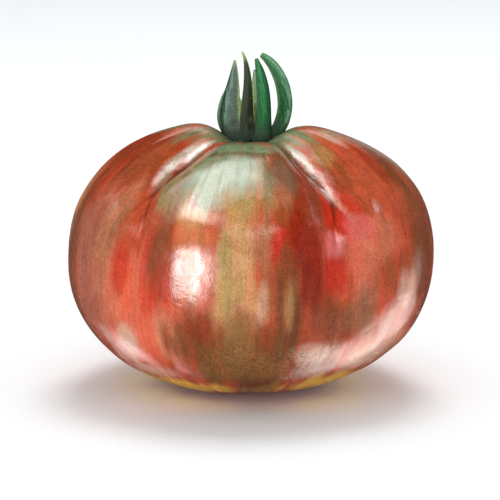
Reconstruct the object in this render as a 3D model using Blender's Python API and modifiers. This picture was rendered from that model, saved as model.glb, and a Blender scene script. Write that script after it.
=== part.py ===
"""A ripe lobed tomato with its green calyx, resting on its blossom end. Metres, +Z up, -Y is the front."""

import math

import bpy
from mathutils import Matrix, Vector, geometry

MM = 0.001

# Fruit: azimuths run from the front (-Y) towards +X, in degrees, and each lobe lies between two grooves.
GROOVE_AZIMUTHS = (-40.0, 29.0, 104.0, 176.0, 247.0)
GROOVE_DEPTHS = (6.6 * MM, 6.8 * MM, 5.6 * MM, 5.2 * MM, 5.8 * MM)
LOBE_RADII = (43.5 * MM, 47.1 * MM, 43.2 * MM, 43.0 * MM, 45.6 * MM)
LOBE_TOPS = (64.4 * MM, 67.6 * MM, 63.4 * MM, 63.2 * MM, 68.0 * MM)
EQUATOR_HEIGHT = 33.5 * MM
BELOW_EQUATOR = 34.4 * MM
SHOULDER_FULLNESS = 2.35
BELLY_FULLNESS = 2.2
LEAN = 0.028
SEAT_HEIGHT = 61.2 * MM
SEAT_RADIUS = 9.5 * MM
SEAT_STEEPNESS = 2.4
GROOVE_PEAK_POLAR = 40.0
GROOVE_SPREAD = 30.0
GROOVE_SHARPNESS = 0.55
VALLEY_DEPTH = 2.3 * MM
VALLEY_PEAK_POLAR = 88.0
VALLEY_SPREAD_ABOVE = 36.0
VALLEY_SPREAD_BELOW = 20.0
VALLEY_SHARPNESS = 0.9
# Each groove bows sideways on its way down, by so many degrees at the bow's middle.
GROOVE_BOWS = (-7.5, 7.0, 1.5, -2.0, 0.0)
BOW_PEAK_POLAR = 50.0
BOW_SPREAD = 17.0
COLUMNS_PER_LOBE = 14
RINGS = 38

# Calyx cup, where the sepals are joined, and the stub of the stalk that stands in it.
CUP_STEPS = 36
CUP_PROFILE = (
    (0.0, 63.5 * MM),
    (2.8 * MM, 63.6 * MM),
    (3.4 * MM, 64.3 * MM),
    (3.9 * MM, 64.6 * MM),
    (4.3 * MM, 64.3 * MM),
    (4.4 * MM, 63.6 * MM),
    (4.2 * MM, 62.9 * MM),
    (3.2 * MM, 62.4 * MM),
    (0.0, 61.5 * MM),
)
STALK_STEPS = 20
STALK_PROFILE = (
    (0.0, 71.6 * MM),
    (1.5 * MM, 71.9 * MM),
    (2.1 * MM, 71.3 * MM),
    (2.3 * MM, 70.2 * MM),
    (1.9 * MM, 68.8 * MM),
    (1.8 * MM, 66.6 * MM),
    (2.0 * MM, 65.0 * MM),
    (2.3 * MM, 64.0 * MM),
    (0.0, 63.9 * MM),
)
MERGE_DISTANCE = 0.05 * MM

# Sepals: four control points of a Bezier midline from the cup to the tip, the azimuth that the outer
# face looks to, and the width at the foot and at the belly.
SEPAL_THICKNESS = 0.9 * MM
SEPAL_CHANNEL = 0.22
SEPAL_TIP_WIDTH = 0.5 * MM
SEPAL_BELLY = 0.3
SEPAL_TAPER = 1.5
SEPAL_ACROSS = 4
SEPAL_ALONG = 13
MIDLINE_POINTS = 53
SEPALS = {
    "sepal_front_left": (
        ((-3.7, -3.9, 63.4), (-7.2, -7.8, 68.7), (-4.1, -6.2, 76.5), (-4.0, -4.4, 82.6)),
        -44.0, 2.6 * MM, 4.3 * MM,
    ),
    "sepal_front": (
        ((-0.7, -5.4, 63.3), (-1.9, -10.5, 69.7), (0.6, -7.9, 78.1), (-2.3, -5.0, 84.6)),
        -6.0, 2.1 * MM, 3.2 * MM,
    ),
    "sepal_front_right": (
        ((2.5, -4.7, 63.4), (3.1, -8.4, 69.3), (3.3, -6.7, 77.1), (0.9, -4.4, 82.9)),
        30.0, 2.3 * MM, 3.6 * MM,
    ),
    "sepal_right": (
        ((4.8, -2.0, 63.9), (11.3, -4.6, 67.8), (8.6, -2.5, 80.4), (2.5, -1.1, 83.3)),
        59.0, 2.8 * MM, 4.3 * MM,
    ),
    "sepal_back_right": (
        ((2.4, 4.6, 63.4), (3.7, 8.8, 67.5), (1.9, 8.4, 73.0), (0.7, 4.6, 79.0)),
        157.0, 3.0 * MM, 4.4 * MM,
    ),
    "sepal_back_left": (
        ((-2.5, 4.5, 63.4), (-5.2, 8.8, 67.5), (-5.4, 7.6, 72.0), (-4.8, 4.6, 76.6)),
        -152.0, 3.0 * MM, 4.4 * MM,
    ),
    "sepal_left": (
        ((-5.1, 0.8, 63.8), (-9.7, 1.8, 66.2), (-8.0, 1.8, 72.0), (-4.9, 1.0, 76.8)),
        -100.0, 2.9 * MM, 4.2 * MM,
    ),
}

RED_SKIN = (0.42, 0.09, 0.045, 1.0)
SEPAL_GREEN = (0.035, 0.10, 0.035, 1.0)
CUP_GREEN = (0.05, 0.08, 0.045, 1.0)
STALK_GREEN = (0.16, 0.22, 0.08, 1.0)


def clear_scene():
    """Removes every object of the scene that the script starts in."""
    for obj in list(bpy.data.objects):
        bpy.data.objects.remove(obj)


def material(name, colour, roughness):
    """A plain Principled material."""
    made = bpy.data.materials.new(name)
    made.use_nodes = True
    shader = made.node_tree.nodes["Principled BSDF"]
    shader.inputs["Base Color"].default_value = colour
    shader.inputs["Roughness"].default_value = roughness
    shader.inputs["Metallic"].default_value = 0.0
    made.diffuse_color = colour
    return made


def smooth(t):
    """Eases a share from 0 to 1."""
    return t * t * (3 - 2 * t)


def bell(value, centre, spread):
    """A bell curve that is 1 at its centre."""
    return math.exp(-(((value - centre) / spread) ** 2))


def around(values, stations, azimuth):
    """Eases between values that stand at rising azimuths, all the way round the fruit."""
    count = len(values)
    azimuth = (azimuth - stations[0]) % 360 + stations[0]
    for i in range(count):
        start = stations[i]
        end = stations[i + 1] if i + 1 < count else stations[0] + 360
        if start <= azimuth <= end:
            share = smooth((azimuth - start) / (end - start))
            return values[i] + (values[(i + 1) % count] - values[i]) * share
    return values[0]


def lobe_centres():
    """The azimuth halfway between each groove and the next."""
    ends = GROOVE_AZIMUTHS[1:] + (GROOVE_AZIMUTHS[0] + 360,)
    return [(start + end) / 2 for start, end in zip(GROOVE_AZIMUTHS, ends)]


def fruit_point(turn, polar):
    """A point of the skin: turn counts lobes from the first groove, polar is in degrees from the stalk."""
    lobe = int(turn)
    across = turn - lobe
    start = GROOVE_AZIMUTHS[lobe]
    last = lobe + 1 == len(GROOVE_AZIMUTHS)
    end = GROOVE_AZIMUTHS[0] + 360 if last else GROOVE_AZIMUTHS[lobe + 1]
    azimuth = start + across * (end - start)
    centres = lobe_centres()
    radius = around(LOBE_RADII, centres, azimuth)
    top = around(LOBE_TOPS, centres, azimuth)
    depth = around(GROOVE_DEPTHS, GROOVE_AZIMUTHS, azimuth)
    sine, cosine = math.sin(math.radians(polar)), math.cos(math.radians(polar))
    upper = cosine > 0
    power = 2 / (SHOULDER_FULLNESS if upper else BELLY_FULLNESS)
    reach = top - EQUATOR_HEIGHT if upper else -BELOW_EQUATOR
    out = radius * abs(sine) ** power
    height = EQUATOR_HEIGHT + reach * abs(cosine) ** power
    bulge = 4 * across * (1 - across)
    dent = depth * bell(polar, GROOVE_PEAK_POLAR, GROOVE_SPREAD) * (1 - bulge**GROOVE_SHARPNESS)
    spread = VALLEY_SPREAD_ABOVE if polar < VALLEY_PEAK_POLAR else VALLEY_SPREAD_BELOW
    dent += VALLEY_DEPTH * bell(polar, VALLEY_PEAK_POLAR, spread) * (1 - bulge**VALLEY_SHARPNESS)
    out -= dent * sine
    height -= dent * cosine
    if upper:
        away = 1 - math.exp(-((out / SEAT_RADIUS) ** SEAT_STEEPNESS))
        height = SEAT_HEIGHT + (height - SEAT_HEIGHT) * away
    height = max(height, 0.0)
    bow = around(GROOVE_BOWS, GROOVE_AZIMUTHS, azimuth) * bell(polar, BOW_PEAK_POLAR, BOW_SPREAD)
    angle = math.radians(azimuth + bow)
    lean = LEAN * (height - SEAT_HEIGHT)
    return Vector((out * math.sin(angle) + lean, -out * math.cos(angle), height))


def fruit_body():
    """The fruit, a sphere whose points are moved out to the lobed skin.

    The sphere's columns stand half a step off the whole steps from +X, so the step is rounded down.
    """
    columns = COLUMNS_PER_LOBE * len(GROOVE_AZIMUTHS)
    bpy.ops.mesh.primitive_uv_sphere_add(segments=columns, ring_count=RINGS, radius=1)
    obj = bpy.context.object
    for vertex in obj.data.vertices:
        x, y, z = vertex.co
        share = (math.atan2(y, x) / math.tau) % 1
        column = math.floor(share * columns)
        polar = math.degrees(math.acos(max(-1.0, min(1.0, z))))
        vertex.co = fruit_point(column / COLUMNS_PER_LOBE, polar)
    return obj


def turned(name, profile, steps):
    """A shape turned round the fruit's axis from a profile of (radius, height) points."""
    mesh = bpy.data.meshes.new(name)
    edges = [(i, i + 1) for i in range(len(profile) - 1)]
    mesh.from_pydata([(radius, 0, height) for radius, height in profile], edges, [])
    obj = bpy.data.objects.new(name, mesh)
    bpy.context.scene.collection.objects.link(obj)
    screw = obj.modifiers.new("turn", "SCREW")
    screw.steps = screw.render_steps = steps
    screw.use_merge_vertices = True
    screw.merge_threshold = MERGE_DISTANCE
    screw.use_smooth_shade = True
    return obj


def blade_point(midline, facing, foot, belly, along, across):
    """A point of a sepal's middle sheet: along runs 0 to 1 up the midline, across -1 to 1 over the width."""
    count = len(midline) - 1
    place = min(int(along * count), count - 1)
    share = along * count - place
    centre = midline[place].lerp(midline[place + 1], share)
    up = (midline[place + 1] - midline[place]).normalized()
    angle = math.radians(facing)
    outward = Vector((math.sin(angle), -math.cos(angle), 0))
    outward = (outward - up * outward.dot(up)).normalized()
    side = up.cross(outward)
    if along < SEPAL_BELLY:
        width = foot + (belly - foot) * smooth(along / SEPAL_BELLY)
    else:
        taper = ((along - SEPAL_BELLY) / (1 - SEPAL_BELLY)) ** SEPAL_TAPER
        width = belly + (SEPAL_TIP_WIDTH - belly) * taper
    half = width / 2
    return centre + side * (half * across) - outward * (SEPAL_CHANNEL * width * across**2)


def sepal(name, path, facing, foot, belly):
    """One sepal, a thin blade bent along its midline and hollowed towards the stalk."""
    corners = [Vector(point) * MM for point in path]
    midline = geometry.interpolate_bezier(*corners, MIDLINE_POINTS)
    bpy.ops.mesh.primitive_grid_add(
        x_subdivisions=SEPAL_ACROSS, y_subdivisions=SEPAL_ALONG, size=1
    )
    obj = bpy.context.object
    obj.name = obj.data.name = name
    for vertex in obj.data.vertices:
        along = min(max(vertex.co.y + 0.5, 0.0), 1.0)
        vertex.co = blade_point(midline, facing, foot, belly, along, 2 * vertex.co.x)
    thick = obj.modifiers.new("thickness", "SOLIDIFY")
    thick.thickness = SEPAL_THICKNESS
    thick.offset = 0
    return obj


def finish(obj, name, look, collection, axis):
    """Names a piece, gives it its material, and puts it on the plant's axis and in the part's collection."""
    obj.name = obj.data.name = name
    obj.data.materials.append(look)
    obj.data.shade_smooth()
    for owner in list(obj.users_collection):
        owner.objects.unlink(obj)
    collection.objects.link(obj)
    obj.parent = axis


def stand_axis(fruit):
    """An empty on the fruit's axis, placed so that the fruit's box is centred on the origin."""
    axis = bpy.data.objects.new("plant_axis", None)
    points = [vertex.co for vertex in fruit.data.vertices]
    middle = Vector((max(axes) + min(axes)) / 2 for axes in zip(*points))
    axis.matrix_world = Matrix.Translation((-middle.x, -middle.y, 0))
    return axis


def build():
    """Models the fruit, the calyx cup, the stalk's stub and the sepals."""
    clear_scene()
    parts = bpy.data.collections.new("tomato")
    bpy.context.scene.collection.children.link(parts)
    skin = material("skin", RED_SKIN, 0.25)
    leaf = material("sepal_leaf", SEPAL_GREEN, 0.6)
    cup_look = material("calyx_cup", CUP_GREEN, 0.6)
    stalk_look = material("stalk", STALK_GREEN, 0.7)
    fruit = fruit_body()
    axis = stand_axis(fruit)
    parts.objects.link(axis)
    finish(fruit, "fruit", skin, parts, axis)
    finish(turned("calyx_cup", CUP_PROFILE, CUP_STEPS), "calyx_cup", cup_look, parts, axis)
    finish(turned("stalk_stub", STALK_PROFILE, STALK_STEPS), "stalk_stub", stalk_look, parts, axis)
    for name, (path, facing, foot, belly) in SEPALS.items():
        finish(sepal(name, path, facing, foot, belly), name, leaf, parts, axis)


if __name__ == "__main__":
    build()
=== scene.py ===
"""A ripe ribbed tomato with its green calyx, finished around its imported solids.

Everything is in metres in the part's own frame: +Z is up and -Y is the front. Azimuths run from the front
towards +X, and polar angles run from the stalk down to the blossom end, both in degrees.
"""

import logging
import math
from dataclasses import dataclass
from enum import Enum
from typing import Sequence

import bpy
import numpy as np
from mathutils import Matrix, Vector, geometry, noise


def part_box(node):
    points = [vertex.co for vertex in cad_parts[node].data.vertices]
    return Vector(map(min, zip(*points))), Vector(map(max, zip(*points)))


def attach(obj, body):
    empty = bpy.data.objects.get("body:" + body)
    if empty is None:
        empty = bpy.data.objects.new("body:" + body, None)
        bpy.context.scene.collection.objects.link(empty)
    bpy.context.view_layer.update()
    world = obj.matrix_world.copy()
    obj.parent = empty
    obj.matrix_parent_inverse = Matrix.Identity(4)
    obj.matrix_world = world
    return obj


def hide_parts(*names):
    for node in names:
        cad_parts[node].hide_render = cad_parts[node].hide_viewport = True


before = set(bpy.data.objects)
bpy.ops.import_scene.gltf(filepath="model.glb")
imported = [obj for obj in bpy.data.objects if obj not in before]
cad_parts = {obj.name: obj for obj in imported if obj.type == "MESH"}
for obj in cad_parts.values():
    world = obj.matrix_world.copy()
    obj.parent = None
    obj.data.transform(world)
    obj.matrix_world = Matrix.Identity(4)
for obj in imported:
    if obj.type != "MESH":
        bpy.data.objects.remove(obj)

LOG = logging.getLogger("tomato")
MM = 0.001
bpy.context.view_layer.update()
PLANT_AXIS = (Vector(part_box("calyx_cup")[0]) + Vector(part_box("calyx_cup")[1])) / 2
MERGE_REACH = 0.01 * MM
SEAM_REACH = 0.05 * MM

Colour = tuple[float, float, float]
Socket = bpy.types.NodeSocket


def paint(red: int, green: int, blue: int) -> Colour:
    """Turns an sRGB colour of 0 to 255 into the linear colour that shaders take.

    Args:
        red: Red part.
        green: Green part.
        blue: Blue part.

    Returns:
        The linear colour.
    """
    parts = (part / 255 for part in (red, green, blue))
    return tuple(p / 12.92 if p <= 0.04045 else ((p + 0.055) / 1.055) ** 2.4 for p in parts)


def ease(share: np.ndarray | float) -> np.ndarray | float:
    """Eases a share that runs from 0 to 1."""
    return share * share * (3 - 2 * share)


def step_between(low: float, high: float, value: np.ndarray) -> np.ndarray:
    """Rises smoothly from 0 at low to 1 at high."""
    return ease(np.clip((value - low) / (high - low), 0.0, 1.0))


def bell(value: np.ndarray, centre: float, spread: float | np.ndarray) -> np.ndarray:
    """A bell curve that is 1 at its centre."""
    return np.exp(-(((value - centre) / spread) ** 2))


def turn_between(azimuth: np.ndarray, centre: float) -> np.ndarray:
    """The signed angle from a centre azimuth, from -180 to 180 degrees."""
    return (azimuth - centre + 180) % 360 - 180


def heading(azimuth: float, elevation: float = 0.0) -> Vector:
    """The direction in which an azimuth and an elevation point.

    Args:
        azimuth: Degrees from the front towards +X.
        elevation: Degrees above the level.

    Returns:
        The direction, one unit long.
    """
    turned, raised = math.radians(azimuth), math.radians(elevation)
    flat = math.cos(raised)
    return Vector((math.sin(turned) * flat, -math.cos(turned) * flat, math.sin(raised)))


def alone(obj: bpy.types.Object) -> None:
    """Selects one object and makes it active.

    Args:
        obj: The object.
    """
    bpy.ops.object.select_all(action="DESELECT")
    obj.select_set(True)
    bpy.context.view_layer.objects.active = obj


def apply_all(obj: bpy.types.Object) -> None:
    """Applies every modifier of an object in order.

    Args:
        obj: The object.
    """
    alone(obj)
    for name in [modifier.name for modifier in obj.modifiers]:
        bpy.ops.object.modifier_apply(modifier=name)


def face_out(obj: bpy.types.Object) -> None:
    """Merges doubled points and turns every face outwards.

    Args:
        obj: The object, whose surface is closed.
    """
    alone(obj)
    bpy.ops.object.mode_set(mode="EDIT")
    bpy.ops.mesh.select_all(action="SELECT")
    bpy.ops.mesh.remove_doubles(threshold=MERGE_REACH)
    bpy.ops.mesh.normals_make_consistent(inside=False)
    bpy.ops.object.mode_set(mode="OBJECT")


def seat(obj: bpy.types.Object, name: str, node: str) -> None:
    """Names a finished piece, moves its mesh to the plant's axis and hands it to the frame.

    Args:
        obj: The finished piece, modelled round the world's origin.
        name: The piece's name.
        node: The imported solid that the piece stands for.
    """
    obj.name = obj.data.name = name
    for vertex in obj.data.vertices:
        vertex.co.x += PLANT_AXIS.x
        vertex.co.y += PLANT_AXIS.y
    obj.data.shade_smooth()
    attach(obj, "root")
    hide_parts(node)


@dataclass(frozen=True)
class Grain:
    """The size and character of a noise.

    Attributes:
        scale: How many patches fit in a unit.
        detail: Number of finer layers.
        rough: How strong the finer layers are.
        warp: How far the noise bends itself.
        squash: How far its third axis is pressed together, which draws the patches out along it.
    """

    scale: float
    detail: float = 2.0
    rough: float = 0.5
    warp: float = 0.0
    squash: float = 1.0


@dataclass(frozen=True)
class Mottle:
    """How a noise shifts a colour: by one tone where it is low and another where it is high.

    Attributes:
        low: The noise's value that brings the first tone.
        low_tone: The first tone. Even grey leaves the colour as it is.
        high: The noise's value that brings the second tone.
        high_tone: The second tone.
        strength: How much of the shift shows.
    """

    low: float
    low_tone: Colour
    high: float
    high_tone: Colour
    strength: float = 1.0


class Graph:
    """A material's node tree, built from short calls that hand back output sockets."""

    even_place = 0.5
    even_grey: Colour = (0.5, 0.5, 0.5)

    def __init__(self, name: str) -> None:
        """Starts a material with one Principled shader.

        Args:
            name: The material's name.
        """
        self.material = bpy.data.materials.new(name)
        self.material.use_nodes = True
        self.tree = self.material.node_tree
        self.shader = self.tree.nodes["Principled BSDF"]

    def feed(self, socket: Socket, value: Socket | float | Sequence[float]) -> None:
        """Links a socket to an input, or sets the input's own value.

        Args:
            socket: The input.
            value: A socket to link, or else a number, a vector or a colour to set.
        """
        if isinstance(value, bpy.types.NodeSocket):
            self.tree.links.new(value, socket)
        elif isinstance(value, (int, float)):
            socket.default_value = value
        else:
            room = len(socket.default_value)
            socket.default_value = (*value, 1.0)[:room]

    def node(self, kind: str, **settings: object) -> bpy.types.Node:
        """Adds a node and sets its options.

        Args:
            kind: The node's type.
            **settings: The options by name.

        Returns:
            The node.
        """
        made = self.tree.nodes.new(kind)
        for key, value in settings.items():
            setattr(made, key, value)
        return made

    def attribute(self, name: str, output: str = "Fac") -> Socket:
        """Reads an attribute of the mesh."""
        return self.node("ShaderNodeAttribute", attribute_name=name).outputs[output]

    def place(self) -> Socket:
        """The object coordinates."""
        return self.node("ShaderNodeTexCoord").outputs["Object"]

    def parts(self, vector: Socket) -> bpy.types.NodeOutputs:
        """Splits a vector into its parts.

        Args:
            vector: The vector.

        Returns:
            The parts, by the names X, Y and Z.
        """
        made = self.node("ShaderNodeSeparateXYZ")
        self.feed(made.inputs[0], vector)
        return made.outputs

    def uv(self) -> tuple[Socket, Socket]:
        """The two parts of the piece's own UV map."""
        parts = self.parts(self.node("ShaderNodeTexCoord").outputs["UV"])
        return parts["X"], parts["Y"]

    def math(self, operation: str, a: Socket | float, b: Socket | float = 0.0) -> Socket:
        """Takes one step of arithmetic.

        Args:
            operation: The step's name.
            a: The first value.
            b: The second value, where the step has one.

        Returns:
            The result.
        """
        made = self.node("ShaderNodeMath", operation=operation)
        self.feed(made.inputs[0], a)
        self.feed(made.inputs[1], b)
        return made.outputs[0]

    def gap(self, value: Socket, centre: float) -> Socket:
        """How far a value is from a centre."""
        return self.math("ABSOLUTE", self.math("SUBTRACT", value, centre))

    def span(
        self, value: Socket, low: float, high: float, out_low: float = 0.0, out_high: float = 1.0
    ) -> Socket:
        """Maps a value smoothly from one range to another.

        Args:
            value: The value.
            low: Where the first range starts.
            high: Where it ends, which may be below its start.
            out_low: What the start becomes.
            out_high: What the end becomes.

        Returns:
            The mapped value.
        """
        made = self.node("ShaderNodeMapRange", interpolation_type="SMOOTHSTEP")
        for socket, number in zip(made.inputs, (value, low, high, out_low, out_high)):
            self.feed(socket, number)
        return made.outputs[0]

    def noise(self, vector: Socket, grain: Grain) -> Socket:
        """A soft noise of 0 to 1.

        Args:
            vector: Where to read the noise.
            grain: Its size and character.

        Returns:
            The noise value.
        """
        if grain.squash != 1.0:
            drawn = self.node("ShaderNodeVectorMath", operation="MULTIPLY")
            self.feed(drawn.inputs[0], vector)
            self.feed(drawn.inputs[1], (1.0, 1.0, grain.squash))
            vector = drawn.outputs[0]
        made = self.node("ShaderNodeTexNoise")
        self.feed(made.inputs["Vector"], vector)
        made.inputs["Scale"].default_value = grain.scale
        made.inputs["Detail"].default_value = grain.detail
        made.inputs["Roughness"].default_value = grain.rough
        made.inputs["Distortion"].default_value = grain.warp
        return made.outputs["Fac"]

    def blend(
        self, share: Socket | float, a: Socket | Colour, b: Socket | Colour, way: str = "MIX"
    ) -> Socket:
        """Lays one colour over another.

        Args:
            share: How much of the second colour shows.
            a: The first colour.
            b: The second colour.
            way: How they mix.

        Returns:
            The mixed colour.
        """
        made = self.node("ShaderNodeMix", data_type="RGBA", blend_type=way)
        self.feed(made.inputs["Factor"], share)
        self.feed(made.inputs[6], a)
        self.feed(made.inputs[7], b)
        return made.outputs[2]

    def mottle(self, colour: Socket, value: Socket, mottle: Mottle) -> Socket:
        """Shifts a colour by a noise.

        Args:
            colour: The colour.
            value: The noise.
            mottle: The tones that the noise brings.

        Returns:
            The mottled colour.
        """
        made = self.node("ShaderNodeValToRGB")
        elements = made.color_ramp.elements
        elements.new(self.even_place)
        stops = (
            (mottle.low, mottle.low_tone),
            (self.even_place, self.even_grey),
            (mottle.high, mottle.high_tone),
        )
        for element, (position, tone) in zip(elements, stops):
            element.position = position
            element.color = (*tone, 1.0)
        self.feed(made.inputs[0], value)
        return self.blend(mottle.strength, colour, made.outputs[0], "OVERLAY")

    def bump(self, height: Socket, strength: float, distance: float) -> None:
        """Roughens the surface by a height.

        Args:
            height: The height, from 0 to 1.
            strength: How much of the roughness shows.
            distance: How far a height of 1 stands out.
        """
        made = self.node("ShaderNodeBump")
        made.inputs["Strength"].default_value = strength
        made.inputs["Distance"].default_value = distance
        self.feed(made.inputs["Height"], height)
        self.feed(self.shader.inputs["Normal"], made.outputs[0])

    def cover(self, colour: Socket) -> None:
        """Gives the surface its colour."""
        self.feed(self.shader.inputs["Base Color"], colour)

    def gloss(self, roughness: Socket | float, specular: Socket | float) -> None:
        """Sets how sharply and how strongly the surface shines."""
        self.feed(self.shader.inputs["Roughness"], roughness)
        self.feed(self.shader.inputs["Specular IOR Level"], specular)


class Pigment(Enum):
    """The skin's colours: ripening colours, some of them also laid as painted highlights, reflected light
    and shade.
    """

    BRICK = paint(190, 84, 56)
    CORAL = paint(222, 113, 86)
    SCARLET = paint(200, 48, 32)
    CRIMSON = paint(142, 42, 24)
    ROSE = paint(214, 108, 102)
    ROSEWOOD = paint(146, 60, 36)
    SIENNA = paint(160, 80, 47)
    UMBER = paint(134, 76, 44)
    BARK = paint(108, 56, 34)
    MAUVE = paint(174, 104, 84)
    CLAY = paint(182, 114, 82)
    APRICOT = paint(216, 144, 98)
    TAN = paint(204, 158, 108)
    OLIVE = paint(180, 148, 92)
    MOSS = paint(146, 130, 86)
    SAGE = paint(116, 140, 102)
    LICHEN = paint(142, 152, 124)
    OCHRE = paint(255, 204, 88)
    PEACH = paint(214, 142, 112)
    SHELL = paint(228, 182, 162)
    HAZEL = paint(160, 118, 70)
    DUSK = paint(126, 98, 80)


@dataclass(frozen=True)
class Patch:
    """A soft ragged patch of the skin, by its place on the fruit and its reach, in degrees.

    Attributes:
        azimuth: Azimuth of its middle.
        polar: Polar angle of its middle.
        breadth: How far it reaches sideways.
        height: How far it reaches up and down.
        amount: How strongly it covers.
    """

    azimuth: float
    polar: float
    breadth: float
    height: float
    amount: float = 0.9

    def weight(self, azimuth: np.ndarray, polar: np.ndarray, ragged: np.ndarray) -> np.ndarray:
        """How strongly the patch covers each place.

        Args:
            azimuth: Azimuth of each point.
            polar: Polar angle of each point.
            ragged: How far the patch's edge wanders at each point, as a share of its reach.

        Returns:
            The cover, from 0 to the patch's amount.
        """
        across = turn_between(azimuth, self.azimuth) / self.breadth
        down = (polar - self.polar) / self.height
        return self.amount * (1 - step_between(0.55, 1.35, np.hypot(across, down) + ragged))


@dataclass(frozen=True)
class Wash:
    """One pigment laid over a patch of the skin.

    Attributes:
        pigment: The pigment.
        azimuth: Azimuth of the patch's middle.
        polar: Polar angle of its middle.
        breadth: How far it reaches sideways.
        height: How far it reaches up and down.
        amount: How strongly it covers.
    """

    pigment: Pigment
    azimuth: float
    polar: float
    breadth: float
    height: float
    amount: float = 0.9

    @property
    def patch(self) -> Patch:
        """The patch that the pigment covers."""
        return Patch(self.azimuth, self.polar, self.breadth, self.height, self.amount)


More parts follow.
